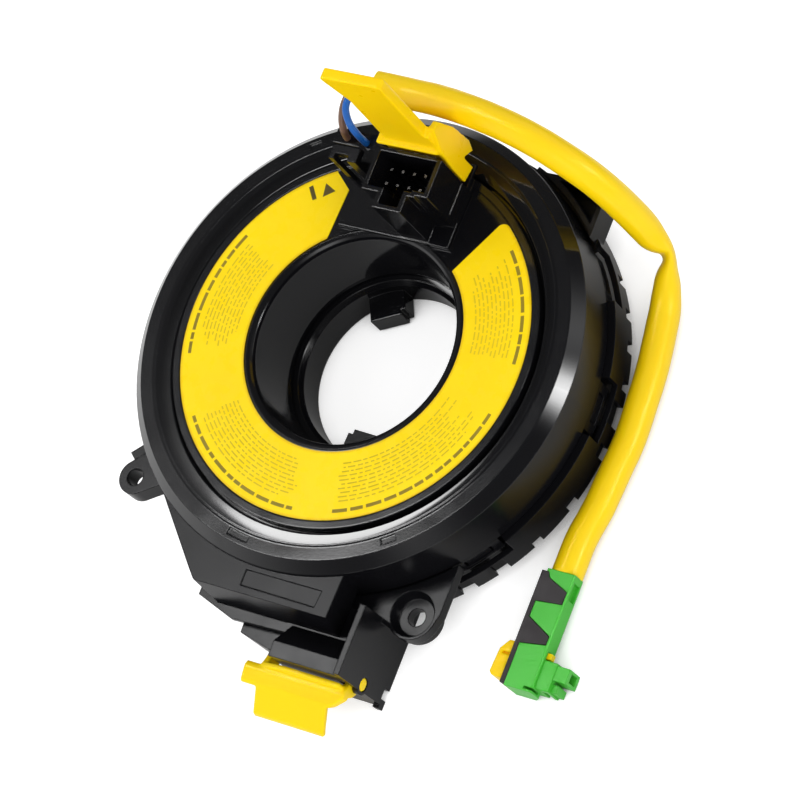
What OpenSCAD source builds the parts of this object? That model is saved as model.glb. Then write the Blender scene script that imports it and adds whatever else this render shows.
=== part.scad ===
// Steering clock spring: the rotary coupling between a steering wheel and its column.
// Millimetres, +Z up along the rotor axis, origin on that axis in the rear plane.

/* [View] */
// Piece to show, or all

/* [Drum] */
// Height of the label face over the rear plane
label_z = 28; // [27.6:0.1:29]
// Radius of the turning disc
disc_r = 46; // [45.6:0.1:46.4]
// Open groove between the disc and the cover lip
lip_gap = 0.7; // [0.5:0.05:0.9]
// Radius of the fine ridge on the cover face
ridge_r = 50.2; // [49.8:0.1:50.6]
// Outer radius of the flat cover face
flat_r = 53.8; // [53.2:0.1:54.2]
// Radius at the top of the cover side wall
wall_top_r = 56.4; // [56.2:0.1:56.6]
// Radius at the foot of the cover side wall
wall_r = 56.9; // [56.8:0.1:57.1]
// Height of the foot of the cover side wall
wall_foot_z = 14.25; // [14.2:0.05:14.6]
// Wall thickness of the mouldings
wall_t = 1.5; // [1.4:0.05:1.6]

/* [Hub and sleeve] */
// Bore radius at the front of the hub
hub_r = 25.3; // [25.1:0.1:25.6]
// Bore radius at the rear of the hub tube
hub_low_r = 24; // [23.8:0.1:24.2]
// Outer radius of the hub tube
hub_out_r = 27.5; // [27.2:0.1:27.8]
// Height at which the hub tube meets the rear sleeve
joint_z = 10; // [9.5:0.1:10.5]
// Bore radius of the rear sleeve
sleeve_bore_r = 21.6; // [21.2:0.1:22]
// Outer radius of the rear sleeve
sleeve_out_r = 24.6; // [24.4:0.05:24.8]
// Radius of the keeper flange behind the housing floor
keeper_r = 28; // [27.4:0.1:28.4]
// Width of each drive lug
lug_w = 9; // [8:0.25:10]
// Radius that the drive lugs reach inward to
lug_r = 15; // [14:0.25:16.5]
// Angle of the first drive lug
lug_a = 117; // [112:1:122]
// Angle of the second drive lug
lug_b = 268; // [263:1:273]

/* [Label] */
// Inner radius of the ring label
label_in_r = 27.6; // [27.4:0.1:28.4]
// Outer radius of the ring label
label_out_r = 44; // [43:0.1:44.1]
// Thickness of the label stock
label_t = 0.2; // [0.1:0.05:0.3]

/* [Rear housing] */
// Outer radius of the castellated rim
rim_r = 58.7; // [58.4:0.05:58.8]
// Thickness of the rim
rim_t = 1.4; // [1.3:0.05:1.45]
// Height of the rim's lower edge
rim_low_z = 3.5; // [3:0.1:4]
// Height of the rim's upper edge
rim_top_z = 14; // [13.8:0.05:14.1]
// Thickness of the housing floor
floor_t = 2.4; // [2.2:0.1:2.5]
// Clip window width as an angle
window_a = 14; // [12:0.5:14]

/* [Screw ears] */
// Left ear hole from the axis along X
ear_l_x = -49.7; // [-50.2:0.1:-49.2]
// Left ear hole from the axis along Y
ear_l_y = -41.7; // [-42.2:0.1:-41.2]
// Right ear hole from the axis along X
ear_r_x = 33.6; // [33.4:0.1:34]
// Right ear hole from the axis along Y
ear_r_y = -54.8; // [-55:0.1:-54.4]
// Radius of each screw hole
ear_hole_r = 2.1; // [1.8:0.1:2.6]
// End radius of the left ear
ear_l_r = 4.3; // [4:0.1:4.8]
// End radius of the right ear
ear_r_r = 6.1; // [6:0.1:6.4]
// Radius of the right ear counterbore
ear_cb_r = 5.4; // [5:0.1:5.6]
// Height of the ear top
ear_top_z = 15; // [14.5:0.1:15.5]
// Thickness of the left ear
ear_t = 5; // [4:0.1:6]
// Thickness of the right ear's plate
ear_r_t = 3; // [2.8:0.1:3.2]

/* [Rotor connector] */
// Height of the socket mouth over the label
mouth_h = 17; // [16.5:0.1:17.4]
// Socket opening along X
socket_x = 15; // [14.6:0.1:15.2]
// Socket opening along Y
socket_y = 8.7; // [8.4:0.1:8.9]
// Wall around the socket
socket_wall = 1.1; // [0.9:0.05:1.2]
// Depth of the socket
socket_depth = 12; // [10:0.25:13]
// Platform half width
platform_x = 14.9; // [14.4:0.1:15.2]

/* [Transport lock] */
// Width of the lock tongue
tongue_w = 13.1; // [12.6:0.1:13.4]
// Thickness of the lock tongue
tongue_t = 2.6; // [2.4:0.05:2.7]
// Height of the tongue tip over the label
tongue_top = 48; // [44:0.5:50]

/* [Airbag lead] */
// Diameter of the lead sleeve
sleeve_d = 7.4; // [6.8:0.1:7.4]
// Diameter of one lead wire
wire_d = 1.7; // [1.4:0.1:1.8]

/* [Lower connector] */
// Roof height of the cover skirt
skirt_z = 25.5; // [25:0.1:26]
// Front edge of the skirt roof from the drum wall
skirt_y = 6.3; // [5.9:0.1:6.7]
// Outer width of the connector shroud
shroud_w = 20; // [19.8:0.1:20.2]
// Front face of the connector shroud from the drum wall
shroud_y = 17.4; // [17.1:0.1:17.7]
// Height of the shroud's bright top bar
shroud_z = 22; // [21.6:0.1:22.4]
// Pivot height of the lever
pivot_z = 12; // [11.8:0.1:12.2]
// Pivot of the lever from the drum wall
pivot_y = 15.9; // [15.7:0.1:16.1]
// Radius of the lever pegs
peg_r = 1.6; // [1.4:0.05:1.7]
// Width of the lever plate
lever_w = 19.4; // [18.4:0.1:19.8]

/* [Squib plug] */
// Length of the plug body
plug_l = 28; // [27.5:0.1:28.5]
// Width of the green plug body
plug_w = 7; // [6.9:0.1:7.1]
// Height of the plug body
plug_h = 7.5; // [7.4:0.05:7.7]

/* [Hidden] */
// Facets of the large rounds
seg = 96;
// Facets of the small rounds
fine = 28;
// Running clearance of the turning fits
run = 0.06;
// Clearance where fixed pieces nest
nest = 0.05;
// Gap between faces that pass each other
pass = 0.3;
black = [0.09, 0.09, 0.1];
yellow = [0.98, 0.85, 0.05];
green = [0.2, 0.72, 0.2];
floor_z = 4;
foot_z = floor_z - floor_t;
disc_low = label_z - 2.6;
lip_r = disc_r + lip_gap;
face_z = label_z + 1;
wall_top = max(wall_top_r, lip_r + 4);
face_r = min(max(flat_r, lip_r + 3.4), wall_top - 0.6);
ridge = min(max(ridge_r, lip_r + 2.9), face_r - 0.7);
lip_top = min(lip_r + 2.2, ridge - 0.7);
lip_out = min(lip_r + 2.9, face_r - 0.5);
skin_r = min(wall_r, wall_top + 0.5) - wall_t;
rim_in = rim_r - rim_t;
drum_out = min(skin_r - pass, rim_in - 2.2);
drum_in = drum_out - 1.9;
sleeve_out = max(sleeve_out_r, sleeve_bore_r + 1.8);
keeper = max(keeper_r, sleeve_out + 1.5);
tube_out = max(hub_out_r, hub_r + 1.2, hub_low_r + 1.2, sleeve_out + 2);
label_in = max(label_in_r, hub_r + 2.2, tube_out + 0.1);
label_out = min(label_out_r, disc_r - 1);
windows = [34.5, 2.2, -41.5, 76, 112, 148, 184];
notches = [[35, 37.4, 7], [26.4, 28.9, 6.5], [18.4, 21, 6.3], [9.2, 11.4, 6.5], [0.5, 5.9, 8.9],
  [-7, -4, 7.5], [-20, -17, 6.3], [-31, -28.5, 6.3], [-41.1, -37.8, 8.9], [-50, -46.3, 8.9],
  [62, 66, 6.3], [84, 88, 7.5], [98, 102, 6.3], [122, 126, 7.5], [136, 140, 6.3],
  [158, 162, 7.5], [170, 174, 6.3], [192, 196, 7.5]];
socket_x0 = -1;
socket_x1 = socket_x0 + socket_x;
socket_y0 = 31;
socket_y1 = socket_y0 + socket_y;
mouth_z = label_z + mouth_h;
block_z = label_z + 1.6;
block_y1 = 46.2;
hook_y = block_y1 - 5.8;
tongue_x1 = socket_x1 - 1.2;
tongue_x0 = tongue_x1 - tongue_w;
tongue_y0 = socket_y1 + socket_wall + 1.4;
tongue_y1 = tongue_y0 + tongue_t;
roof_y = wall_r + skirt_y;
front_y = wall_r + shroud_y;
axle_y = wall_r + pivot_y;
bay_y = wall_r + 2.8;
shroud_x1 = 27;
shroud_x0 = shroud_x1 - shroud_w;
cav_a = [shroud_x0 - 21, shroud_x0 - 1.5, bay_y, bay_y + 5.3];
cav_b = [shroud_x0 + wall_t, shroud_x1 - wall_t, bay_y + 0.3, front_y - wall_t];
bar_y = front_y - 3.7;
arm_w = 1.5;
arm_r = shroud_x1 - wall_t - 0.2;
arm_l = 2;
lever_x = 12;
lug_r0 = 2.2;
skirt_foot_z = 16.9;
valley_y = wall_r + 8.5;
roof_in_z = skirt_foot_z - wall_t;
bar_in_z = shroud_z - 1.8;
plug_x0 = 57.3;
plug_x1 = plug_x0 + plug_w;
plug_y0 = -34.9;
plug_y1 = plug_y0 - plug_l;
cover_x0 = plug_x0 - 1.2;
block_x = 7.8;
stator_z = 15.2;
ribbon_z0 = floor_z + 1;
ribbon_z1 = disc_low - 2;
pin_tail_z = disc_low - 1.5;
key_x0 = socket_x0 + 4.5;
key_x1 = socket_x0 + 9.8;
key_y = socket_y0 - 3.8;
step_x = socket_x0 + 11.8;
pin = 0.64;

lead_path = [[-9.6, 55, 43.8], [-1.8, 55.6, 41.9], [6.8, 55.2, 42.2], [16.1, 53.8, 43.3], [25.4, 52.3, 42.8],
  [34, 50.5, 41], [41.4, 48.8, 36.9], [46.9, 47.5, 30.6], [50.9, 46.1, 22.7], [54.3, 44.2, 14.7],
  [58.1, 39.4, 8.5], [59.5, 32.5, 4.7], [60.8, 24.6, 4], [62.1, 15.9, 4], [62.7, 7.5, 4], [63.1, -1, 4],
  [62.5, -9.5, 4], [61.9, -18, 4], [60.7, -26.2, 4], [60.6, -34.9, 4]];
blue_path = [[-11.2, 43.9, 36], [-11.3, 43.9, 37], [-12.4, 44.4, 39], [-14.1, 46, 41.8], [-15, 48.6, 44],
  [-14.4, 51.8, 44.8], [-12.4, 54, 44.7], [-9.8, 54.4, 44.6]];
brown_path = [[-16.6, 44.2, 36], [-16.6, 44.3, 37], [-16.6, 45, 39], [-16.9, 47, 41], [-16.6, 49.9, 42.8],
  [-15.8, 52.9, 43.1], [-13.4, 55.3, 42.7], [-10.5, 55.8, 43]];

function polar(r, a) = [r * cos(a), r * sin(a)];
function unit(v) = v / norm(v);
function along(p, i) = unit(p[min(i + 1, len(p) - 1)] - p[max(i - 1, 0)]);
function ring_pts(p, i, r, n, ref) =
  let (t = along(p, i), u = unit(cross(t, ref)), v = cross(t, u))
  [for (k = [0 : n - 1]) p[i] + r * (cos(360 * k / n) * u + sin(360 * k / n) * v)];

module tube(p, r, n, ref) {
  m = len(p);
  pts = [for (i = [0 : m - 1]) each ring_pts(p, i, r, n, ref)];
  sides = [for (i = [0 : m - 2]) for (k = [0 : n - 1])
    [i * n + k, i * n + (k + 1) % n, (i + 1) * n + (k + 1) % n, (i + 1) * n + k]];
  start = [[for (k = [0 : n - 1]) n - 1 - k]];
  end = [[for (k = [0 : n - 1]) (m - 1) * n + k]];
  polyhedron(pts, concat(sides, start, end), convexity = 6);
}

module sector(r0, r1, z0, z1, a0, a1) {
  rotate([0, 0, a0])
    translate([0, 0, z0])
      rotate_extrude(angle = a1 - a0, $fn = seg)
        translate([r0, 0])
          square([r1 - r0, z1 - z0]);
}

module box(x0, x1, y0, y1, z0, z1) {
  translate([min(x0, x1), min(y0, y1), min(z0, z1)])
    cube([abs(x1 - x0), abs(y1 - y0), abs(z1 - z0)]);
}

// Prism of an outline in the Y and Z plane, along X
module side_prism(pts, x0, x1) {
  translate([x0, 0, 0])
    rotate([90, 0, 90])
      linear_extrude(x1 - x0)
        polygon(pts);
}

// Cylinder along X with its centre at the given Y and Z
module axle(x0, x1, y, z, r) {
  translate([x0, y, z])
    rotate([0, 90, 0])
      cylinder(h = x1 - x0, r = r, $fn = fine);
}

// What the drum's rim and the cover's wall take up
module drum_space() {
  translate([0, 0, -1])
    cylinder(h = 40, r = rim_in + 0.3, $fn = seg);
  translate([0, 0, rim_top_z])
    cylinder(h = 20, r = wall_r + 0.7, $fn = seg);
}

module skirt_plan(t) {
  polygon([[-37 + t, -40], [-36 + t, -42], [-33.5 + t, -45.7 + t * 0.4],
    [-19 + t, -roof_y + 2.2 + t * 0.5], [-17 + t * 0.7, -roof_y + 0.2 + t * 0.8],
    [-14 + t * 0.4, -roof_y - 1.8 + t], [19.4 - t, -roof_y - 1.8 + t],
    [19.8 - t, -50], [19.8 - t, -40]]);
}

module skirt_solid(t, z0) {
  intersection() {
    translate([0, 0, z0])
      linear_extrude(skirt_z - t - z0)
        skirt_plan(t);
    side_prism([[-38, z0 - 1], [-roof_y - 1.8 + t, z0 - 1], [-roof_y - 1.8 + t, 17],
      [-roof_y + t, skirt_z], [-38, skirt_z]], -40, 25);
  }
}

module front_cover() {
  color(black)
    difference() {
      union() {
        rotate_extrude($fn = seg)
          polygon([[lip_r, disc_low + 0.1], [lip_r, label_z - 1.3], [lip_r + 0.5, label_z - 0.9],
            [lip_top, label_z + 0.7], [ridge - 0.6, face_z], [ridge, face_z + 0.15],
            [ridge + 0.6, face_z], [face_r, face_z], [wall_top, face_z - 2.75],
            [wall_r, wall_foot_z], [skin_r, wall_foot_z], [skin_r, face_z - 4.4],
            [max(face_r - 0.4, skin_r - 2), face_z - wall_t - 0.5], [lip_out, face_z - wall_t - 0.5],
            [lip_out - 0.6, disc_low + 0.1]]);
        for (a = windows)
          sector(skin_r + 0.15, wall_r - 0.15, rim_top_z - 4.7, wall_foot_z + 0.4,
            a - window_a / 2 + 1, a + window_a / 2 - 1);
        difference() {
          skirt_solid(0, 17.1);
          skirt_solid(wall_t, 16);
          translate([0, 0, 10])
            cylinder(h = 20, r = skin_r + 0.8, $fn = seg);
        }
      }
      for (a = windows)
        sector(skin_r - 1, wall_r + 1, rim_top_z - 3.7, rim_top_z - 0.9, a - 3.6, a + 3.6);
      translate([0, 0, skirt_z - 0.3])
        linear_extrude(1)
          polygon([[-4.6, -roof_y + 5.6], [16, -roof_y + 5.6], [15.6, -roof_y + 1.6], [-4.6, -roof_y + 1.8]]);
      for (a = [[-102, -95.5], [-58, -54], [122, 125]])
        sector(ridge + 0.9, face_r - 1.1, face_z - 0.25, face_z + 1, a[0], a[1]);
      box(-8.3, 8.3, -drum_in + 1, -bay_y + 1.2, 14, 23.4);
    }
}

module ear_left() {
  difference() {
    union() {
      translate([0, 0, ear_top_z - ear_t])
        linear_extrude(ear_t)
          translate([ear_l_x, ear_l_y]) {
            root = norm([ear_l_x, ear_l_y]) - rim_in + 1.4;
            circle(r = ear_l_r, $fn = fine);
            rotate(atan2(-ear_l_y, -ear_l_x))
              polygon([[0, -ear_l_r], [0, ear_l_r], [root, ear_l_r + 1], [root, -ear_l_r - 1]]);
          }
      translate([0, 0, rim_top_z - 2])
        linear_extrude(2)
          polygon([polar(rim_r - 3.8, 213.1), polar(rim_r - 0.2, 212.2), polar(rim_r + 6.4, 213.6),
            polar(rim_r + 5.8, 215.4), polar(rim_r - 2.1, 215.7)]);
    }
    drum_space();
    translate([ear_l_x, ear_l_y, 0])
      cylinder(h = 30, r = ear_hole_r, $fn = fine);
  }
}

module ear_right() {
  difference() {
    union() {
      translate([0, 0, ear_top_z - ear_r_t])
        linear_extrude(ear_r_t) {
          translate([ear_r_x, ear_r_y])
            circle(r = ear_r_r, $fn = fine * 2);
          polygon([[ear_r_x + 6.7, -41], [ear_r_x + 6.7, ear_r_y + 1.5], [ear_r_x + 5.7, ear_r_y - 2.2],
            [ear_r_x + 2, ear_r_y - 4], [ear_r_x - 3.7, ear_r_y - 4.6], [27, ear_r_y - 3.8],
            [25.6, ear_r_y - 3.4], [25.6, -50]]);
        }
      translate([ear_r_x, ear_r_y, ear_top_z - ear_r_t - 2.4])
        cylinder(h = 3, r = ear_r_r - 0.5, $fn = fine * 2);
    }
    drum_space();
    translate([ear_r_x, ear_r_y, ear_top_z - ear_r_t + 0.4])
      cylinder(h = ear_r_t - 0.35, r1 = ear_cb_r - 1, r2 = ear_cb_r, $fn = fine * 2);
    translate([ear_r_x, ear_r_y, 0])
      cylinder(h = 30, r = ear_hole_r, $fn = fine);
  }
}

module side_pocket() {
  difference() {
    box(24, 42.4, 36, 52.3, 10.5, 18);
    drum_space();
    intersection() {
      box(20, 41.2, 30, 51.1, 11.7, 19);
      difference() {
        box(20, 45, 30, 55, 11, 20);
        cylinder(h = 30, r = rim_r + 0.4, $fn = seg);
      }
    }
  }
}

module lower_solid() {
  w = wall_r;
  linear_extrude(skirt_foot_z)
    polygon([[-33.2, -41], [-33.2, -43.4], [-18.4, -w - 3.1], [-18.4, -w - 7.3], [-9, -w - 9.6],
      [shroud_x0 + 0.5, -w - 9.6], [shroud_x0 + 0.5, -40]]);
  translate([0, 0, roof_in_z])
    linear_extrude(wall_t)
      polygon([[-19.5, -w - 3.1], [-19.5, -w - 7.6], [-9, -w - 10.9], [6, -w - 10.4], [7.5, -w - 3.1]]);
  linear_extrude(14)
    polygon([[-7.5, -w - 3.1], [-7, -w - 12.8], [shroud_x0 - 2.1, -w - 15.5],
      [shroud_x0 + 0.5, -w - 16.1], [shroud_x0 + 0.5, -w - 3.1]]);
  difference() {
    box(shroud_x0, shroud_x1, -40, -front_y, 0, shroud_z);
    side_prism([[-38, skirt_foot_z], [-valley_y, skirt_foot_z], [-bar_y, shroud_z], [-bar_y, 30], [-38, 30]],
      shroud_x0 - 1, shroud_x1 + 1);
    box(shroud_x0 - 1, shroud_x1 + 3, -38, -bay_y + 2.1, ear_top_z, 30);
  }
  box(shroud_x1 - wall_t, shroud_x1, -bay_y + 2.1, -front_y, 0, 24);
  box(shroud_x1 - wall_t, shroud_x1, -front_y + 1, -front_y - 0.9, 0, 2.2);
  axle(shroud_x1 - wall_t, shroud_x1, -axle_y, pivot_z, peg_r + 0.8);
}

module lower_body() {
  difference() {
    lower_solid();
    translate([0, 0, -1])
      cylinder(h = 40, r = drum_out + 0.2, $fn = seg);
    translate([0, 0, rim_top_z])
      cylinder(h = 20, r = wall_r + 0.7, $fn = seg);
    box(-30, -20, -40, -bay_y + 1.7, 2, 15);
  }
}

// The lower sockets, the slots of the lever and its bearings
module lower_cuts() {
  box(cav_a[0], cav_a[1], -cav_a[2], -cav_a[3], -1, 30);
  side_prism([[-cav_b[2], -1], [-cav_b[2], roof_in_z], [-valley_y - 0.6, roof_in_z], [-bar_y - 0.3, bar_in_z],
    [-cav_b[3], bar_in_z], [-cav_b[3], -1]], cav_b[0], cav_b[1]);
  box(cav_a[1] - 1, cav_b[0] + 1, -bay_y - 0.8, -bay_y - 4.8, 10, 30);
  box(arm_r - 2, cav_b[1], -front_y + 2, -front_y - 2, 8, 17);
  box(shroud_x1 - wall_t - 1, shroud_x1 + 1, -front_y + 3.8, -front_y + 1.3, -1, 2.4);
  axle(arm_l - 0.3, arm_l + arm_w + 0.3, -axle_y, pivot_z, lug_r0 + run);
  axle(shroud_x1 - wall_t - 2, shroud_x1 + 2, -axle_y, pivot_z, peg_r + run);
}

module rear_housing() {
  color(black)
    difference() {
      union() {
        difference() {
          rotate_extrude($fn = seg)
            polygon([[sleeve_out + run, foot_z], [keeper + pass, foot_z], [keeper + pass, 0],
              [drum_out + 0.4, 0], [drum_out + 0.9, 1], [drum_out + 0.9, rim_top_z - 1.4],
              [rim_in, rim_top_z - 1.4], [rim_in, rim_low_z], [rim_r, rim_low_z], [rim_r, rim_top_z],
              [drum_out, rim_top_z], [drum_out, face_z - 5], [drum_in, face_z - 5], [drum_in, floor_z],
              [sleeve_out + run, floor_z]]);
          for (a = windows)
            sector(drum_out + 0.1, rim_r + 1, rim_top_z - 5, rim_top_z + 1, a - window_a / 2,
              a + window_a / 2);
          for (n = notches)
            sector(rim_in - 0.2, rim_r + 1, rim_low_z - 1, n[2], n[0], n[1]);
        }
        for (a = windows)
          sector(drum_out - 0.5, wall_r - 0.4, rim_top_z - 3.5, rim_top_z - 1.1, a - 3.2, a + 3.2);
        ear_left();
        ear_right();
        side_pocket();
        lower_body();
      }
      lower_cuts();
      box(-8, 8, -drum_in + 3, -bay_y + 1.1, 15.1, 30);
      box(-8, 8, -drum_in + 3, -drum_out - 1.9, 8, 30);
    }
}

module disc_cut() {
  polygon([[-16.7, 18], [-16.7, 21.6], [-16.1, 34.7], [-20.8, 38.4], [-26, 50], [36, 50], [25.6, 34.6],
    [24.6, 32.8], [18.2, 21.2], [16, 16]]);
}

// What rounds the corner at p, whose sides leave it at the angles a and b
module corner_cut(p, a, b, r) {
  half = abs(b - a) / 2;
  mid = (a + b) / 2;
  difference() {
    polygon([p - polar(0.6, mid), p + polar(r / tan(half), a), p + polar(r / sin(half), mid),
      p + polar(r / tan(half), b)]);
    translate(p + polar(r / sin(half), mid))
      circle(r = r, $fn = fine);
  }
}

module rotor_disc() {
  color(black)
    difference() {
      rotate_extrude($fn = seg)
        polygon([[sleeve_out + nest, floor_z + 0.1], [tube_out, floor_z + 0.1], [tube_out, disc_low],
          [disc_r - 1, disc_low], [disc_r - 1, disc_low - 1.2], [lip_r + 1.6, disc_low - 1.2],
          [lip_r + 1.6, disc_low - 0.2], [disc_r, disc_low - 0.2], [disc_r, label_z],
          [label_out + 0.2, label_z], [label_out + 0.2, label_z - label_t],
          [label_in - 0.2, label_z - label_t], [hub_r + 1.7, label_z], [hub_r + 0.9, label_z - 0.2],
          [hub_r + 0.3, label_z - 0.7], [hub_r, label_z - 1.5], [hub_r, label_z - 2],
          [hub_low_r, joint_z], [sleeve_out + nest, joint_z], [sleeve_out + nest, 7.6],
          [sleeve_out + nest + 0.4, 7.4], [sleeve_out + nest + 0.4, 6.4],
          [sleeve_out + nest, 6.2]]);
      for (x = pin_x)
        for (y = pin_y)
          box(x - pin / 2 - 0.02, x + pin / 2 + 0.02, y - pin / 2 - 0.02, y + pin / 2 + 0.02, 20, 40);
    }
}

module rotor_sleeve() {
  color(black) {
    rotate_extrude($fn = seg)
      polygon([[sleeve_bore_r, 0.3], [keeper, 0.3], [keeper, foot_z - 0.1], [sleeve_out, foot_z - 0.1],
        [sleeve_out, 6.2], [sleeve_out + 0.35, 6.5], [sleeve_out + 0.35, 7.3],
        [sleeve_out, 7.6], [sleeve_out, joint_z - 0.5], [sleeve_bore_r + 1, joint_z - 0.5],
        [sleeve_bore_r, joint_z - 1.75]]);
    for (a = [lug_a, lug_b])
      rotate([0, 0, a])
        difference() {
          box(lug_r, sleeve_bore_r + 1, -lug_w / 2, lug_w / 2, 0.7, 6);
          box(lug_r - 1, lug_r + 1.2, -lug_w / 2 - 1, -lug_w / 2 + 1.2, 0, 7);
        }
  }
}

module label() {
  color(yellow)
    translate([0, 0, label_z - label_t])
      linear_extrude(label_t)
        difference() {
          circle(r = label_out, $fn = seg);
          circle(r = label_in, $fn = seg);
          disc_cut();
          corner_cut(polar(label_out, 53.5), -124, -37, 2);
        }
}

pin_x = [1.5, 4.5, 7.5, 10.5];
pin_y = [33.5, 37];

module socket_outline(t) {
  polygon([[socket_x0 - t, socket_y0 - t], [key_x0 - t, socket_y0 - t], [key_x0 - t, key_y - t],
    [key_x1 + t, key_y - t], [key_x1 + t, socket_y0 - t + 0.4], [step_x + t, socket_y0 - t + 0.4],
    [step_x + t, socket_y0 + 0.9 - t],
    [socket_x1 + t, socket_y0 + 0.9 - t], [socket_x1 + t, socket_y1 + t], [socket_x0 - t, socket_y1 + t]]);
}

module rotor_connector() {
  color(black)
    difference() {
      union() {
        translate([0, 0, label_z])
          linear_extrude(1)
            difference() {
              intersection() {
                polygon([[-platform_x + 0.2, 25.6], [-platform_x + 0.2, block_y1 - 0.2],
                  [platform_x + 0.3, block_y1 - 0.2],
                  [platform_x + 0.3, 25.6]]);
                circle(r = disc_r - 0.3, $fn = seg);
              }
              circle(r = hub_r + 0.1, $fn = seg);
            }
        translate([0, 0, label_z])
          linear_extrude(mouth_h)
            socket_outline(socket_wall);
        box(socket_x0 - 2.6, socket_x0 - 1.1, block_y1 - 10.2, block_y1, block_z, label_z + 14);
        box(socket_x0 - 2.6, socket_x1 + socket_wall, tongue_y1 + 0.15, block_y1, block_z, label_z + 9);
        box(socket_x0 - 2.6, socket_x1 + socket_wall, block_y1 - 6.2, block_y1, block_z, label_z + 3.2);
        box(platform_x - 0.8, platform_x + 0.4, 32, 40, label_z, label_z + 5.5);
        box(socket_x0 - 19, socket_x0 - 2.6, block_y1 - 3.6, block_y1 + 0.2, block_z, label_z + 8);
        box(socket_x0 - 12, socket_x0 - 2.6, block_y1 - 8.2, block_y1 - 3.4, label_z + 0.5, label_z + 8);
      }
      translate([0, 0, mouth_z - socket_depth])
        linear_extrude(socket_depth + 1)
          socket_outline(0);
      box(socket_x0 - 1.1, 30, tongue_y0 - 0.1, tongue_y1 + 0.1, label_z + 3, 90);
      box(socket_x1 - 0.8, socket_x1 + 15, block_y1 - 6, block_y1 + 4, label_z + 2.6, mouth_z + 15);
      for (x = pin_x)
        for (y = pin_y)
          box(x - pin / 2 - 0.02, x + pin / 2 + 0.02, y - pin / 2 - 0.02, y + pin / 2 + 0.02, 20, 40);
    }
}

// A bracket on two legs, one on the disc and one on the platform
module wire_guide() {
  x0 = -16.2;
  x1 = -8.7;
  y0 = 36.9;
  top = label_z + 13;
  foot = label_z - label_t + nest;
  color(black)
    difference() {
      box(x0, x1, y0, y0 + 3.6, foot, top);
      box(x0 - 1, x1 + 1, y0 + 1.05, y0 + 5, foot - 1, top - 1.8);
      box(x0 + 1.4, x1 - 2.5, y0 - 1, y0 + 1.4, foot - 1, top + 1);
      box(x0 + 1.4, x1 + 1, y0 - 1, y0 + 5, foot - 1, label_z + 1 + nest);
    }
}

module rotor_pins() {
  color([0.8, 0.75, 0.5])
    for (x = pin_x)
      for (y = pin_y)
        box(x - pin / 2, x + pin / 2, y - pin / 2, y + pin / 2, pin_tail_z, mouth_z - 3.5);
}

module transport_lock() {
  foot_y = socket_y1 + socket_wall + 0.2;
  tip_z = label_z + tongue_top;
  hook_x = socket_x1 - 0.7;
  color(yellow) {
    box(socket_x0 - 1.4, socket_x1 - 0.3, foot_y, tongue_y0 + 0.1, mouth_z + 0.1, mouth_z + 1.3);
    box(socket_x0 - 1.4, tongue_x0 + 0.1, tongue_y0, tongue_y1, mouth_z + 0.1, mouth_z + 1.3);
    translate([0, tongue_y1, 0])
      rotate([90, 0, 0])
        linear_extrude(tongue_t)
          polygon([[tongue_x0, mouth_z + 0.1], [tongue_x1, mouth_z + 0.1], [tongue_x1, tip_z - 0.6],
            [tongue_x1 - 0.6, tip_z], [tongue_x0 - 2.3, tip_z], [tongue_x0 - 2.8, tip_z - 0.6],
            [tongue_x0 - 2.8, tip_z - 2], [tongue_x0, tip_z - 11]]);
    box(socket_x0 - 1, socket_x1 - 0.6, tongue_y0, tongue_y1, label_z + 3.4, mouth_z + 0.2);
    difference() {
      side_prism([[hook_y, label_z + 4], [hook_y + 4.9, label_z + 3], [hook_y + 4.8, label_z + 8.3],
        [hook_y + 7.8, label_z + 5.8], [hook_y + 8.9, label_z + 9], [hook_y + 8.2, label_z + 17],
        [hook_y + 6.1, label_z + 24], [hook_y + 3.6, label_z + 24.7], [hook_y + 1.2, label_z + 18]],
        hook_x, hook_x + 1.6);
      side_prism([[hook_y - 0.4, label_z], [hook_y - 0.4, mouth_z + 0.05], [foot_y - 0.05, mouth_z + 0.05],
        [foot_y - 0.05, label_z]], 12, socket_x1 + 1.2);
    }
    box(tongue_x1 - 0.5, socket_x1 - 0.2, tongue_y0, tongue_y1, mouth_z + 0.1, label_z + 24);
  }
}

module wire_blue() {
  color([0.1, 0.4, 0.8])
    tube(blue_path, wire_d / 2, 8, [1, -1, 1]);
}

module wire_brown() {
  color([0.5, 0.35, 0.25])
    tube(brown_path, wire_d / 2, 8, [1, -1, 1]);
}

module lead_sleeve() {
  color(yellow)
    tube(lead_path, sleeve_d / 2, 12, [1, 1, 0.3]);
}

turns = 5.5;
ribbon_t = 0.3;
ribbon_r0 = tube_out + 6.7;
ribbon_pitch = (drum_in - 3.3 - ribbon_r0) / turns;
ribbon_n = 132;
function spiral(i, d) =
  let (f = i / ribbon_n, a = 90 + 360 * turns * f, r = ribbon_r0 + ribbon_pitch * turns * f + d)
  [r * cos(a), r * sin(a)];

module ribbon_cable() {
  color([0.9, 0.9, 0.86])
    translate([0, 0, ribbon_z0])
      linear_extrude(ribbon_z1 - ribbon_z0)
        polygon(concat([for (i = [0 : ribbon_n]) spiral(i, ribbon_t)],
          [for (i = [0 : ribbon_n]) spiral(ribbon_n - i, 0)]));
}

module slide_sheet() {
  color([0.85, 0.85, 0.85])
    rotate_extrude($fn = seg)
      translate([tube_out + 0.8, floor_z])
        square([drum_in - tube_out - 1.6, 0.3]);
}

module rotor_lead_block() {
  color([0.2, 0.2, 0.22])
    difference() {
      box(-7, 7, tube_out - 1.5, tube_out + 5.1, 8, disc_low);
      cylinder(h = 40, r = tube_out + nest, $fn = seg);
    }
}

module stator_lead_block() {
  color([0.2, 0.2, 0.22]) {
    box(-block_x, block_x, -drum_in + 2.4, -bay_y + 1.5, stator_z, stator_z + 7.8);
    box(-block_x, block_x, -drum_in + 2.4, -drum_out - 1.6, stator_z - 7, stator_z + 0.1);
  }
}

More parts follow.
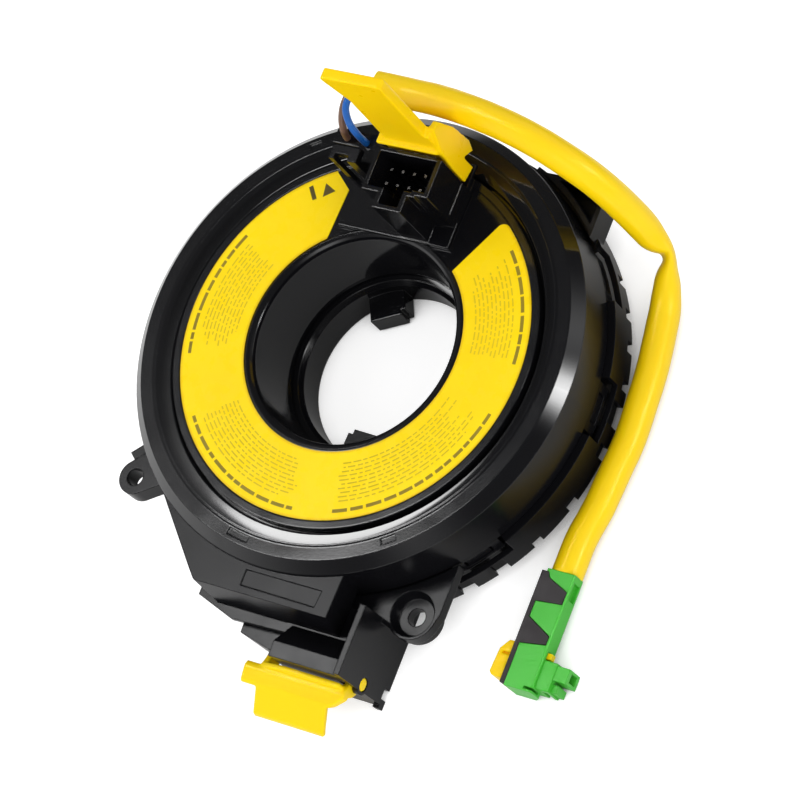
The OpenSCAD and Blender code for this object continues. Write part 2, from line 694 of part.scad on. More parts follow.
module pin_stack(grow) {
  for (i = [0 : 5])
    box(cav_a[0] + 2 + 3 * i - pin / 2 - grow, cav_a[0] + 2 + 3 * i + pin / 2 + grow,
      -bay_y - 2.6 - pin / 2 - grow, -bay_y - 2.6 + pin / 2 + grow, 3, 17 + grow);
  for (i = [0 : 3])
    for (y = [-cav_b[2] - 3, -bar_y + 2.6]) {
      x = cav_b[0] + 2.5 + i * (cav_b[1] - cav_b[0] - 7) / 3;
      box(x - pin / 2 - grow, x + pin / 2 + grow, y - pin / 2 - grow, y + pin / 2 + grow, 3, roof_in_z - 0.8 + grow);
    }
}

module connector_carrier() {
  color([0.16, 0.16, 0.17])
    difference() {
      union() {
        box(cav_a[0] + nest, cav_a[1] - nest, -cav_a[2] - nest, -cav_a[3] + nest, 10, 14);
        box(cav_b[0] + nest, cav_b[1] - 2.9, -cav_b[2] - nest, -bar_y + 0.2, 10, 13);
        box(cav_a[1] - 1, cav_b[0] + 1, -bay_y - 0.9, -bay_y - 4.7, 10 + nest, 13);
      }
      pin_stack(0.02);
    }
}

module lower_pins() {
  color([0.8, 0.75, 0.5])
    pin_stack(0);
}

module lever_arm(x0, r) {
  side_prism([[-axle_y, pivot_z - r], [-axle_y - 2, pivot_z - r + 0.2], [-front_y - 2.1, pivot_z - 0.4],
    [-front_y - 3.3, 15.2], [-front_y - 1.3, 15.4], [-axle_y, pivot_z + r]], x0, x0 + arm_w);
  axle(x0, x0 + arm_w, -axle_y, pivot_z, r);
}

module connector_lever() {
  f = -front_y;
  plate_x1 = lever_x + lever_w / 2 - 0.4;
  color(yellow) {
    lever_arm(arm_l, lug_r0);
    lever_arm(arm_r - arm_w, peg_r + 0.6);
    axle(arm_r - 0.4, shroud_x1, -axle_y, pivot_z, peg_r);
    intersection() {
      side_prism([[f - 1.1, 13.4], [f - 1.1, 15], [f - 2.3, 15.6], [f - 5.5, 14.9], [f - 6.3, 14.2],
        [f - 5.3, 13]], arm_l - 4, arm_r);
      translate([0, 0, 12])
        linear_extrude(5)
          polygon([[arm_l - 4, f - 7], [arm_l - 4, f - 1], [arm_r, f - 1], [arm_r, f - 3.3], [plate_x1, f - 7]]);
    }
    translate([0, f - 0.4, 0])
      rotate([90, 0, 0])
        linear_extrude(1.2)
          polygon([[arm_l, 13.4], [arm_l, 15.2], [cav_b[0] + 1, 17.8], [arm_r - 1, 17.4], [arm_r - 1, 13.4]]);
    side_prism([[f - 3.7, 15.3], [f - 5.5, 14.9], [f - 11.7, 11.2], [f - 12.1, 10], [f - 11.3, 9.3],
      [f - 10.5, 10], [f - 4.9, 13.3], [f - 2.7, 13.6]], lever_x - lever_w / 2, plate_x1);
  }
}

module zig_upper(g) {
  translate([plug_x0, plug_y0])
    polygon([[-1.3, -0.7], [0.5 + g, -0.7], [1.2 + g, -2], [plug_w - 0.5 + g, -4.3 + g],
      [plug_w - 0.5 + g, -7.2 - g], [0.1, -7.8 - g], [-1.3, -8.1 - g]]);
}

module zig_lower(g) {
  translate([plug_x0, plug_y0])
    polygon([[-1.3, -11.3 + g], [-0.4, -11.5 + g], [plug_w - 0.7 + g, -14.9 + g], [plug_w - 0.7 + g, -16.9 - g],
      [-0.3, -17.9 - g], [-1.3, -18.1 - g]]);
}

arm_y0 = plug_y1 + 10;
arm_y1 = plug_y1 + 8.2;
nose_y0 = plug_y1 + 8;
nose_y1 = plug_y1 + 1.3;
ferrite = [plug_x0 + 1, plug_x1 - 2.9, -41, -50.5];

module squib_body() {
  color(green)
    difference() {
      union() {
        translate([0, plug_y0, 0])
          rotate([90, 0, 0])
            linear_extrude(plug_l)
              polygon([[plug_x0, 0], [plug_x1 - 1.8, 0], [plug_x1 - 0.3, 2.2], [plug_x1, 3],
                [plug_x1, plug_h - 0.3], [plug_x1 - 0.3, plug_h], [plug_x0, plug_h]]);
        box(plug_x1 - 2, plug_x1 + 3.4, nose_y0, nose_y1, 0.3, 6.6);
        box(plug_x1 + 3.2, plug_x1 + 6.6, nose_y0 - 0.4, nose_y0 - 3.8, 0.6, 6.4);
        box(plug_x1 + 3.2, plug_x1 + 4.8, nose_y1 + 2.2, nose_y1 + 0.4, 0.6, 5.4);
      }
      translate([0, 0, plug_h - 0.8])
        linear_extrude(2) {
          zig_upper(0.1);
          zig_lower(0.1);
        }
      box(plug_x0 - 1, plug_x1 + 1, arm_y0, arm_y1, 3.9, 6.3);
      box(plug_x1 - 0.9, plug_x1 + 1, -36.5, -40.6, 3.4, 6.4);
      box(ferrite[0], ferrite[1], ferrite[2], ferrite[3], -1, 5);
      box(59.5, plug_x1 + 5.6, nose_y0 - 1.6, nose_y0 - 2.5, 2.8, 3.7);
      box(plug_x1 + 4.8, plug_x1 + 8, nose_y0 - 1, nose_y0 - 3.1, 1.8, 5);
      box(plug_x1 + 1.2, plug_x1 + 2.6, nose_y1 + 1.4, nose_y1 - 1, -1, 5);
      box(plug_x1 - 2.2, plug_x1 + 1, nose_y1 - 0.2, nose_y1 - 0.8, 4, 9);
    }
}

module squib_cover() {
  color(black)
    difference() {
      union() {
        box(cover_x0, plug_x0 - 0.05, plug_y0 - 0.7, plug_y1 + 0.4, 0.3, plug_h);
        intersection() {
          translate([0, 0, plug_h - 0.75])
            linear_extrude(0.75) {
              zig_upper(0);
              zig_lower(0);
            }
          box(cover_x0, plug_x1 + 6, plug_y0 + 5, plug_y0 - 25, 0, 20);
        }
      }
      box(cover_x0 - 1, plug_x0 + 1, arm_y0, arm_y1, 3.9, 6.3);
    }
}

module squib_lock() {
  color(yellow)
    difference() {
      union() {
        translate([0, 0, 0.8])
          linear_extrude(5.9)
            polygon([[cover_x0 - 0.2, plug_y1 + 10.3], [cover_x0 - 1.7, plug_y1 + 10.3],
              [cover_x0 - 3.4, plug_y1 + 7.9], [cover_x0 - 3.8, plug_y1 + 2.3], [cover_x0 - 3.1, plug_y1 + 1.6],
              [cover_x0 - 0.2, plug_y1 + 1.4]]);
        box(cover_x0 - 0.6, plug_x1 + 1, arm_y0 - 0.2, arm_y1 + 0.2, 4.1, 6.1);
      }
      box(cover_x0 - 2.5, plug_x0 - 0.3, plug_y1 + 7.5, plug_y1 + 6.9, 5.7, 8);
    }
}

module squib_contacts() {
  color([0.8, 0.75, 0.5])
    box(60, plug_x1 + 5.4, nose_y0 - 1.65, nose_y0 - 2.45, 2.85, 3.65);
}

module squib_ferrite() {
  color([0.25, 0.25, 0.26])
    box(ferrite[0] + nest, ferrite[1] - nest, ferrite[2] - nest, ferrite[3] + nest, 0.6, 5 - nest);
}

front_cover();
rear_housing();
rotor_disc();
rotor_sleeve();
label();
rotor_connector();
wire_guide();
rotor_pins();
transport_lock();
wire_blue();
wire_brown();
lead_sleeve();
ribbon_cable();
slide_sheet();
rotor_lead_block();
stator_lead_block();
connector_carrier();
lower_pins();
connector_lever();
squib_body();
squib_cover();
squib_lock();
squib_contacts();
squib_ferrite();
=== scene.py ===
import math
import random

import bmesh
import bpy
from mathutils import Matrix, Vector, noise


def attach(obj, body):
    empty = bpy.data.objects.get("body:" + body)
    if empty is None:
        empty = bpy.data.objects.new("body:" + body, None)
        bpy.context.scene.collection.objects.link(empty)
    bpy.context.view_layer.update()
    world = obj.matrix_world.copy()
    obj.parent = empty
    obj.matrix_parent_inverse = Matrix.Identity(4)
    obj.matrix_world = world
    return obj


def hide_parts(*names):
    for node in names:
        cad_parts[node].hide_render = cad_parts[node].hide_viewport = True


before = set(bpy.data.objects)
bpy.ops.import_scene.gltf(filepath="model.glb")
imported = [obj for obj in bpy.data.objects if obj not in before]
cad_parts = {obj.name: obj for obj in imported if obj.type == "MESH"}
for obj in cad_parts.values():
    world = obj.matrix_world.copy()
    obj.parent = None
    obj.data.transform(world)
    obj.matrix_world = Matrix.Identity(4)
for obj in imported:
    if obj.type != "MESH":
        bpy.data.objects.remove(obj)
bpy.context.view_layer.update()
MM = 0.001


# Helpers for objects and meshes
def link(obj):
    bpy.context.scene.collection.objects.link(obj)
    return obj


def from_bmesh(bm, name, smooth=True):
    """The object that a finished bmesh becomes."""
    mesh = bpy.data.meshes.new(name)
    bm.to_mesh(mesh)
    bm.free()
    for p in mesh.polygons:
        p.use_smooth = smooth
    return link(bpy.data.objects.new(name, mesh))


def paint(obj, material):
    obj.data.materials.clear()
    obj.data.materials.append(material)


# Camera: its axes, and its place in metres, fitted to the circles in the photograph
LENS_MM = 152.631
SENSOR_MM = 36.0
CAMERA_RIGHT = (0.837532, 0.361972, -0.409287)
CAMERA_UP = (-0.209843, 0.904724, 0.370729)
TOWARD_CAMERA = (0.504485, -0.224611, 0.833693)
CAMERA_AT = (0.401243, -0.181989, 0.661449)


def place_camera():
    data = bpy.data.cameras.new("camera")
    data.lens = LENS_MM
    data.sensor_width = SENSOR_MM
    camera = link(bpy.data.objects.new("camera", data))
    rows = zip(CAMERA_RIGHT, CAMERA_UP, TOWARD_CAMERA, CAMERA_AT)
    camera.matrix_world = Matrix((*rows, (0, 0, 0, 1)))
    bpy.context.scene.camera = camera
    bpy.context.scene.view_settings.view_transform = "Standard"


place_camera()

# Open end of a tube: how many rings deep its bore goes, and how far its lip stands out
MOUTH_RINGS = 6
MOUTH_LIP = 0.15 * MM


def spline(points, steps):
    """Points along a smooth curve through the given ones, in metres, with so many steps to each span."""
    knots = [Vector(p) * MM for p in points]
    knots = [2 * knots[0] - knots[1]] + knots + [2 * knots[-1] - knots[-2]]
    out = []
    for i in range(1, len(knots) - 2):
        a, b, c, d = knots[i - 1:i + 3]
        for k in range(steps):
            t = k / steps
            out.append(0.5 * (2 * b + (c - a) * t + (2 * a - 5 * b + 4 * c - d) * t * t
                              + (3 * b - a - 3 * c + d) * t ** 3))
    out.append(knots[-2].copy())
    return out


def frames(path, side):
    """At each point of the path, the direction along it and two directions across it."""
    out = []
    for i in range(len(path)):
        t = (path[min(i + 1, len(path) - 1)] - path[max(i - 1, 0)]).normalized()
        u = (side - side.dot(t) * t).normalized()
        out.append((t, u, t.cross(u)))
    return out


def tube(path, name, radius, sides, side, hollow=0.0):
    """A closed mesh tube. radius(i, share, angle) gives its half widths in two directions across the path.
    With hollow, it starts with an open mouth, and hollow is the bore's share of the radius."""
    bm = bmesh.new()
    across = frames(path, side)
    last = len(path) - 1

    def ring(i, scale, shift=0.0):
        t, u, v = across[i]
        verts = []
        for j in range(sides):
            a = 2 * math.pi * j / sides
            half_u, half_v = radius(i, i / last, a)
            offset = u * math.cos(a) * half_u * scale + v * math.sin(a) * half_v * scale
            verts.append(bm.verts.new(path[i] + t * shift + offset))
        return verts

    rings = []
    if hollow:
        rings.append(ring(MOUTH_RINGS, hollow))
        rings.append(ring(0, hollow))
        rings.append(ring(0, (1 + hollow) / 2, -MOUTH_LIP))
    rings += [ring(i, 1.0) for i in range(len(path))]
    for a, b in zip(rings, rings[1:]):
        for j in range(sides):
            k = (j + 1) % sides
            bm.faces.new((a[j], a[k], b[k], b[j]))
    bm.faces.new(rings[0][::-1])
    bm.faces.new(rings[-1])
    bmesh.ops.recalc_face_normals(bm, faces=bm.faces)
    return from_bmesh(bm, name)


# Airbag lead: the routes of its sleeve and its two wires in millimetres
# The part's source has the same points, but the last of each wire lies further into the sleeve here
LEAD = [(-9.6, 55, 43.8), (-1.8, 55.6, 41.9), (6.8, 55.2, 42.2), (16.1, 53.8, 43.3), (25.4, 52.3, 42.8),
        (34, 50.5, 41), (41.4, 48.8, 36.9), (46.9, 47.5, 30.6), (50.9, 46.1, 22.7), (54.3, 44.2, 14.7),
        (58.1, 39.4, 8.5), (59.5, 32.5, 4.7), (60.8, 24.6, 4), (62.1, 15.9, 4), (62.7, 7.5, 4), (63.1, -1, 4),
        (62.5, -9.5, 4), (61.9, -18, 4), (60.7, -26.2, 4), (60.6, -34.9, 4)]
BLUE = [(-11.2, 43.9, 36), (-11.3, 43.9, 37), (-12.4, 44.4, 39), (-14.1, 46, 41.8), (-15, 48.6, 44),
        (-14.4, 51.8, 44.8), (-12.4, 54, 44.7), (-8.2, 54.4, 44.3)]
BROWN = [(-16.6, 44.2, 36), (-16.6, 44.3, 37), (-16.6, 45, 39), (-16.9, 47, 41), (-16.6, 49.9, 42.8),
         (-15.8, 52.9, 43.1), (-13.4, 55.3, 42.7), (-8.2, 55.8, 42.7)]
LEAD_STEPS = 14
WIRE_STEPS = 7
SLEEVE_R = 3.7 * MM
SLEEVE_SIDES = 40
SLEEVE_BORE = 0.84
WIRE_R = 0.85 * MM
WIRE_SIDES = 20
WIRE_SIDE = Vector((1, -1, 1)).normalized()

# Sharp bend of the sleeve, as a share of its length
KINK = 0.505
# What the bend does: how much, how far past it and over what width, the last two as shares of the length
AXIS_SHIFT = (1.8 * MM, 0.004, 0.022)
PINCHES = ((0.40, 0.008, 0.021), (0.22, 0.024, 0.045))
FOLD = (0.14, 0.0, 0.005)
WRINKLES = ((0.02, -0.035, 0.006), (0.02, 0.055, 0.006))
# How fast the fold fades around the sleeve, and how much the sleeve bulges sideways where it is pinched
FOLD_FADE = 1.5
BULGE = 0.4
# The sleeve is a little oval, turning along its length, and a little uneven
OVAL = 0.012
OVAL_TURN = 9
UNEVEN = 0.05 * MM
UNEVEN_SCALE = 260
UNEVEN_AROUND = 1.3


def near_kink(s, row):
    """How much of a row's effect is felt at a share of the length."""
    amount, past, width = row
    return amount * math.exp(-((s - KINK - past) / width) ** 2)


def outward(path, i):
    """Away from the middle of the bend that the path makes at a point."""
    a, b, c = path[max(i - LEAD_STEPS, 0)], path[i], path[min(i + LEAD_STEPS, len(path) - 1)]
    d = b - (a + c) / 2
    return d.normalized() if d.length > 1e-7 else Vector((0, 0, 0))


lead_path = spline(LEAD, LEAD_STEPS)
sleeve_axis = [p + outward(lead_path, i) * near_kink(i / (len(lead_path) - 1), AXIS_SHIFT)
               for i, p in enumerate(lead_path)]
sleeve_side = Vector(TOWARD_CAMERA)
sleeve_frames = frames(sleeve_axis, sleeve_side)


def sleeve_radius(i, s, a):
    """The soft sleeve lies round, and is pressed flat where it is bent sharply."""
    t, u, v = sleeve_frames[i]
    inner = max(0.0, -(u * math.cos(a) + v * math.sin(a)).dot(outward(lead_path, i)))
    pinch = sum(near_kink(s, row) for row in PINCHES)
    crease = near_kink(s, FOLD) * inner ** FOLD_FADE
    crease += sum(near_kink(s, row) for row in WRINKLES) * inner
    r = SLEEVE_R * (1 + OVAL * math.sin(a * 2 + s * OVAL_TURN)) * (1 - crease)
    p = lead_path[i]
    uneven = UNEVEN * noise.noise(Vector((p.x * UNEVEN_SCALE, p.y * UNEVEN_SCALE, a * UNEVEN_AROUND)))
    return r * (1 + BULGE * pinch) + uneven, r * (1 - pinch) + uneven


def wire_radius(i, s, a):
    return WIRE_R, WIRE_R


sleeve = tube(sleeve_axis, "airbag_lead_sleeve", sleeve_radius, SLEEVE_SIDES, sleeve_side,
              hollow=SLEEVE_BORE)
wires = []
for name, route, node in (("airbag_wire_blue", BLUE, "wire_blue"),
                          ("airbag_wire_brown", BROWN, "wire_brown")):
    wire = tube(spline(route, WIRE_STEPS), name, wire_radius, WIRE_SIDES, WIRE_SIDE)
    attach(wire, "rotor")
    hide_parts(node)
    wires.append(wire)
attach(sleeve, "housing")
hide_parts("lead_sleeve")


# Helpers for shader nodes
class Nodes:
    """A node tree, with short names for what is built in it."""

    def __init__(self, tree):
        self.tree = tree

    def feed(self, socket, value):
        """The socket is linked to another socket, or holds a plain value."""
        if isinstance(value, bpy.types.NodeSocket):
            self.tree.links.new(value, socket)
        else:
            socket.default_value = value

    def node(self, kind, ins=(), out=0, **props):
        n = self.tree.nodes.new(kind)
        for key, value in props.items():
            setattr(n, key, value)
        for key, value in dict(ins).items():
            self.feed(n.inputs[key], value)
        return n.outputs[out]

    def math(self, operation, a, b=0.0):
        return self.node("ShaderNodeMath", {0: a, 1: b}, operation=operation)

    def vector(self, operation, ins, out=0):
        return self.node("ShaderNodeVectorMath", ins, out=out, operation=operation)

    def span(self, value, low, high, to_low=0.0, to_high=1.0, shape="LINEAR"):
        """Goes from to_low to to_high as the value goes from low to high, and stays there beyond."""
        ins = {"Value": value, "From Min": low, "From Max": high, "To Min": to_low, "To Max": to_high}
        return self.node("ShaderNodeMapRange", ins, interpolation_type=shape)


class Look(Nodes):
    """A material, whose patterns lie in the object's own coordinates."""

    def __init__(self, name):
        self.material = bpy.data.materials.new(name)
        self.material.use_nodes = True
        super().__init__(self.material.node_tree)
        self.shader = self.tree.nodes["Principled BSDF"]
        self.place = self.tree.nodes.new("ShaderNodeTexCoord").outputs["Object"]

    def set(self, key, value):
        self.feed(self.shader.inputs[key], value)

    def noise(self, scale, detail):
        return self.node("ShaderNodeTexNoise", {"Vector": self.place, "Scale": scale, "Detail": detail})

    def mix(self, share, a, b):
        """From colour a to colour b, each a socket or three plain numbers."""
        a, b = [(*c, 1) if isinstance(c, tuple) else c for c in (a, b)]
        return self.node("ShaderNodeMix", {0: share, 6: a, 7: b}, out=2, data_type="RGBA")

    def bump(self, strength, depth, height, normal=None):
        ins = {"Strength": strength, "Distance": depth, "Height": height}
        if normal is not None:
            ins["Normal"] = normal
        return self.node("ShaderNodeBump", ins)

    def scatter(self, weight, depths):
        """Light goes a little way into the plastic, in metres for red, green and blue."""
        self.set("Subsurface Weight", weight)
        self.set("Subsurface Radius", depths)
        self.set("Subsurface Scale", 1.0)

    def flat(self):
        """The way from the rotor's axis, straight out."""
        return self.vector("MULTIPLY", {0: self.place, 1: (1, 1, 0)})

    def radius(self):
        return self.vector("LENGTH", {0: self.flat()}, out=1)

    def height(self):
        return self.node("ShaderNodeSeparateXYZ", {0: self.place}, out=2)


# Front cover, in metres: each pair is where an effect starts and where it is full
LIP_RISE = (0.0472, 0.0500)
LIP_TILT = (0.04, 0.15)
LIP_WITHIN = (0.0502, 0.0499)
LIP_ABOVE = (0.0268, 0.0271)
SKIRT_BEYOND = (0.0568, 0.0578)
WALL_BEYOND = (0.0560, 0.0563)
WALL_BELOW = (0.0264, 0.0260)
# The share of the face's reflection that the wall and skirt keep, and what is added to their roughness
WALL_SPEC = 0.3
WALL_ROUGH = 0.15


def soft_lip(look, normal):
    """The inner lip of the cover rolls gently outwards instead of standing as a plain cone."""
    r = look.radius()
    out = look.vector("NORMALIZE", {0: look.flat()})
    lean = look.vector("SCALE", {0: out, 3: look.span(r, *LIP_RISE, *LIP_TILT)})
    rolled = look.vector("ADD", {0: lean, 1: (0, 0, 1)})
    on_lip = look.math("MULTIPLY", look.span(r, *LIP_WITHIN), look.span(look.height(), *LIP_ABOVE))
    both = look.node("ShaderNodeMix", {0: on_lip, 4: normal, 5: rolled}, out=1, data_type="VECTOR")
    return look.vector("NORMALIZE", {0: both})


def dull_wall(look, spec, gloss):
    """The cover's wall and skirt are less polished than its face."""
    r = look.radius()
    wall = look.math("MULTIPLY", look.span(r, *WALL_BEYOND), look.span(look.height(), *WALL_BELOW))
    outer = look.math("MAXIMUM", look.span(r, *SKIRT_BEYOND), wall)
    look.set("Specular IOR Level", look.span(outer, 0.0, 1.0, spec, spec * WALL_SPEC))
    look.set("Roughness", look.math("ADD", gloss, look.span(outer, 0.0, 1.0, 0.0, WALL_ROUGH)))


# Materials: noise scales are per metre, and colours are linear
def plastic(name, colour, rough, tint=None, grain=0.25, wave=0.3, bevel=0.0, spec=0.5, sss=0.0, cover=False):
    """Moulded plastic: a mottled colour, uneven gloss, fine grain and slow sink marks."""
    look = Look(name)
    tint = tint or tuple(c * 0.86 for c in colour)
    mottle = look.span(look.noise(scale=38, detail=2.0), 0.35, 0.65)
    look.set("Base Color", look.mix(mottle, tint, colour))
    gloss = look.span(look.noise(scale=210, detail=4.0), 0.3, 0.7, rough * 0.88, rough * 1.14)
    look.set("Roughness", gloss)
    look.set("Specular IOR Level", spec)
    if sss:
        look.scatter(sss, depths=(0.002, 0.0014, 0.0004))
    normal = look.node("ShaderNodeBevel", {"Radius": bevel}, samples=6) if bevel else None
    if cover:
        normal = soft_lip(look, normal)
        dull_wall(look, spec, gloss)
    sunk = look.bump(wave, depth=0.0006, height=look.noise(scale=60, detail=1.0), normal=normal)
    grained = look.bump(grain, depth=0.00002, height=look.noise(scale=2600, detail=2.0), normal=sunk)
    look.set("Normal", grained)
    return look.material


def soft_tube(name, colour, tint, rough):
    """Soft sleeve: waxy, with a slightly uneven surface."""
    look = Look(name)
    look.set("Base Color", look.mix(look.span(look.noise(scale=70, detail=3.0), 0.35, 0.7), tint, colour))
    look.set("Roughness", look.span(look.noise(scale=300, detail=3.0), 0.3, 0.7, rough * 0.9, rough * 1.15))
    look.set("Specular IOR Level", 0.4)
    look.scatter(0.15, depths=(0.002, 0.0013, 0.0003))
    waved = look.bump(0.08, depth=0.0004, height=look.noise(scale=90, detail=1.0))
    look.set("Normal", look.bump(0.12, depth=0.00004, height=look.noise(scale=420, detail=2.0), normal=waved))
    return look.material


def contact_metal(name, dark, light):
    """Plated metal with uneven gloss."""
    look = Look(name)
    look.set("Base Color", look.mix(look.noise(scale=500, detail=3.0), dark, light))
    look.set("Metallic", 1.0)
    look.set("Roughness", look.span(look.noise(scale=900, detail=3.0), 0.3, 0.7, 0.2, 0.34))
    look.set("Normal", look.bump(0.15, depth=0.00003, height=look.noise(scale=2500, detail=2.0)))
    return look.material


# Edges of the label's film in metres: it deepens from the first to the second radius of each pair
FILM_OUTER = (0.0433, 0.0439)
FILM_INNER = (0.0283, 0.0277)


def label_film(name):
    """Warm yellow film with a faint orange-peel, a little deeper towards its edges."""
    look = Look(name)
    mottle = look.span(look.noise(scale=45, detail=3.0), 0.3, 0.7)
    face = look.mix(mottle, (0.93, 0.65, 0.002), (0.97, 0.70, 0.003))
    r = look.radius()
    edge = look.math("MAXIMUM", look.span(r, *FILM_OUTER), look.span(r, *FILM_INNER))
    look.set("Base Color", look.mix(edge, face, (0.72, 0.47, 0.004)))
    look.set("Roughness", look.span(look.noise(scale=300, detail=3.0), 0.3, 0.7, 0.24, 0.32))
    look.set("Specular IOR Level", 0.15)
    look.set("Normal", look.bump(0.35, depth=0.00004, height=look.noise(scale=1300, detail=3.0)))
    return look.material


def ink(name, colour, tint):
    return plastic(name, colour, 0.4, tint=tint, grain=0.1, wave=0.1, spec=0.2)


BLACK = (0.0045, 0.0045, 0.0055)
black_shell = plastic("black_shell", BLACK, 0.085, grain=0.10, wave=0.12, bevel=0.0004, cover=True)
black_rear = plastic("black_rear", BLACK, 0.24, grain=0.14, wave=0.15, bevel=0.0004, spec=0.2)
black_rotor = plastic("black_rotor", BLACK, 0.10, grain=0.10, wave=0.12, bevel=0.0004)
black_plug = plastic("black_plug", (0.012, 0.008, 0.010), 0.42, bevel=0.00025, spec=0.3)
yellow_lock = plastic("yellow_lock", (0.98, 0.66, 0.003), 0.3, tint=(0.95, 0.60, 0.002), grain=0.12,
                      sss=0.2, spec=0.15)
yellow_lever = plastic("yellow_lever", (0.96, 0.67, 0.003), 0.32, tint=(0.95, 0.63, 0.003), grain=0.12,
                       sss=0.2, spec=0.25)
green_plug = plastic("green_plug", (0.055, 0.45, 0.035), 0.32, tint=(0.042, 0.40, 0.025), grain=0.12,
                     bevel=0.0003, sss=0.1, spec=0.25)
yellow_tube = soft_tube("yellow_tube", (0.98, 0.68, 0.002), (0.975, 0.655, 0.002), 0.34)
blue_wire = plastic("blue_wire", (0.010, 0.13, 0.52), 0.28, grain=0.1, wave=0.1)
brown_wire = plastic("brown_wire", (0.21, 0.115, 0.075), 0.32, grain=0.1, wave=0.1)
ribbon_film = plastic("ribbon_film", (0.72, 0.70, 0.62), 0.35, grain=0.1, wave=0.1)
ferrite = plastic("ferrite", (0.03, 0.03, 0.033), 0.6)
brass = contact_metal("contact_metal", (0.70, 0.60, 0.36), (0.82, 0.76, 0.55))
# The pins' plating is painted near black: the shade of the socket they stand in, painted into their colour.
tin = contact_metal("pin_metal_painted_shade", (0.05, 0.05, 0.05), (0.09, 0.085, 0.08))
yellow_film = label_film("label_film")
ink_marks = ink("label_ink", (0.07, 0.048, 0.007), (0.10, 0.07, 0.008))
ink_bold = ink("label_ink_bold", (0.20, 0.14, 0.010), (0.27, 0.19, 0.012))
ink_fine = ink("label_ink_fine", (0.55, 0.38, 0.005), (0.64, 0.45, 0.005))

LOOKS = {
    "front_cover": black_shell,
    "rear_housing": black_rear,
    "rotor_disc": black_rotor,
    "rotor_sleeve": black_rotor,
    "label": yellow_film,
    "rotor_connector": black_rotor,
    "wire_guide": black_rear,
    "rotor_pins": tin,
    "ribbon_cable": ribbon_film,
    "slide_sheet": ribbon_film,
    "rotor_lead_block": black_plug,
    "stator_lead_block": black_plug,
    "connector_carrier": black_plug,
    "lower_pins": brass,
    "squib_body": green_plug,
    "squib_cover": black_plug,
    "squib_contacts": brass,
    "squib_ferrite": ferrite,
    "transport_lock": yellow_lock,
    "connector_lever": yellow_lever,
    "squib_lock": yellow_lock}

for node, look in LOOKS.items():
    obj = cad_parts[node]
    if len(obj.material_slots) == 0:
        obj.data.materials.append(look)
    for s in obj.material_slots:
        s.material = look
paint(sleeve, yellow_tube)
paint(wires[0], blue_wire)
paint(wires[1], brown_wire)


# Rounded mouldings
def rounded(node, name, voxel, body, look, rounds, factor=0.5):
    """The same moulding with its edges broken, as it comes out of a mould."""
    obj = link(bpy.data.objects.new(name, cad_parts[node].data.copy()))
    remesh = obj.modifiers.new("remesh", "REMESH")
    remesh.mode = "VOXEL"
    remesh.voxel_size = voxel
    smooth = obj.modifiers.new("smooth", "SMOOTH")
    smooth.factor = factor
    smooth.iterations = rounds
    evaluated = obj.evaluated_get(bpy.context.evaluated_depsgraph_get())
    mesh = bpy.data.meshes.new_from_object(evaluated)
    obj.modifiers.clear()
    obj.data = mesh
    for p in mesh.polygons:
        p.use_smooth = True
    paint(obj, look)
    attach(obj, body)
    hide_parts(node)
    return obj


rounded("transport_lock", "lock_moulding", 0.00028, "lock", yellow_lock, rounds=4)
rounded("connector_lever", "lever_moulding", 0.00026, "lever", yellow_lever, rounds=7)
rounded("squib_lock", "plug_lock_moulding", 0.00016, "plug_lock", yellow_lock, rounds=4)

# Marks on the label: lengths in millimetres, angles in degrees
LABEL_Z = 28.015
BLOCKS = ((4, 44), (-73, -13), (-140, -87), (154, 198))
FINE_ROWS = 10
FINE_R = 39.6
FINE_STEP = 1.0
FINE_HALF = 0.17
FINE_BARS = (1.0, 4.0)
BOLD_R = 41.9
BOLD_HALF = 0.42
BOLD_BARS = (2.2, 6.5)
BAR_GAPS = (0.6, 1.1)
ROW_START = (1, 3)
ROW_END = (1, 10)
ARC_STEP = 1.5
# The bar and the triangle that show the straight-ahead place
MARK_TURN = math.radians(128)
BAR_AT = (-25.1, 32.1)
BAR_HALF = (1.9, 0.55)
TRIANGLE_AT = (-21.5, 33.6)
TRIANGLE = ((1.9, 0), (-1.2, 1.7), (-1.2, -1.7))
rng = random.Random(7)


def face(bm, points):
    """One flat face on the label."""
    bm.faces.new([bm.verts.new(Vector((x, y, LABEL_Z)) * MM) for x, y in points])


def arc_mark(bm, r0, r1, a0, a1):
    """A bar that follows an arc from one angle to another."""
    steps = max(1, int((a1 - a0) / ARC_STEP))
    for k in range(steps):
        p = math.radians(a0 + (a1 - a0) * k / steps)
        q = math.radians(a0 + (a1 - a0) * (k + 1) / steps)
        face(bm, [(r * math.cos(a), r * math.sin(a)) for r, a in ((r0, p), (r1, p), (r1, q), (r0, q))])


def bars(bm, r, half, a0, a1, lengths):
    """A row of plain bars along an arc."""
    a = a0
    while a < a1:
        b = min(a1, a + rng.uniform(*lengths))
        arc_mark(bm, r - half, r + half, a, b)
        a = b + rng.uniform(*BAR_GAPS)


def turned_mark(bm, centre, corners):
    """A flat mark, turned with the label."""
    cos, sin = math.cos(MARK_TURN), math.sin(MARK_TURN)
    face(bm, [(centre[0] + i * cos - j * sin, centre[1] + i * sin + j * cos) for i, j in corners])


def onto_label(bm, name, look):
    piece = from_bmesh(bm, name, smooth=False)
    paint(piece, look)
    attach(piece, "rotor")


def fine_bars():
    bm = bmesh.new()
    for a0, a1 in BLOCKS:
        for k in range(FINE_ROWS):
            start = a0 + rng.uniform(*ROW_START)
            end = a1 - rng.uniform(*ROW_END)
            bars(bm, FINE_R - FINE_STEP * k, FINE_HALF, start, end, FINE_BARS)
    onto_label(bm, "label_fine_print", ink_fine)


def bold_bars():
    bm = bmesh.new()
    for a0, a1 in BLOCKS:
        bars(bm, BOLD_R, BOLD_HALF, a0, a1, BOLD_BARS)
    onto_label(bm, "label_bold_print", ink_bold)


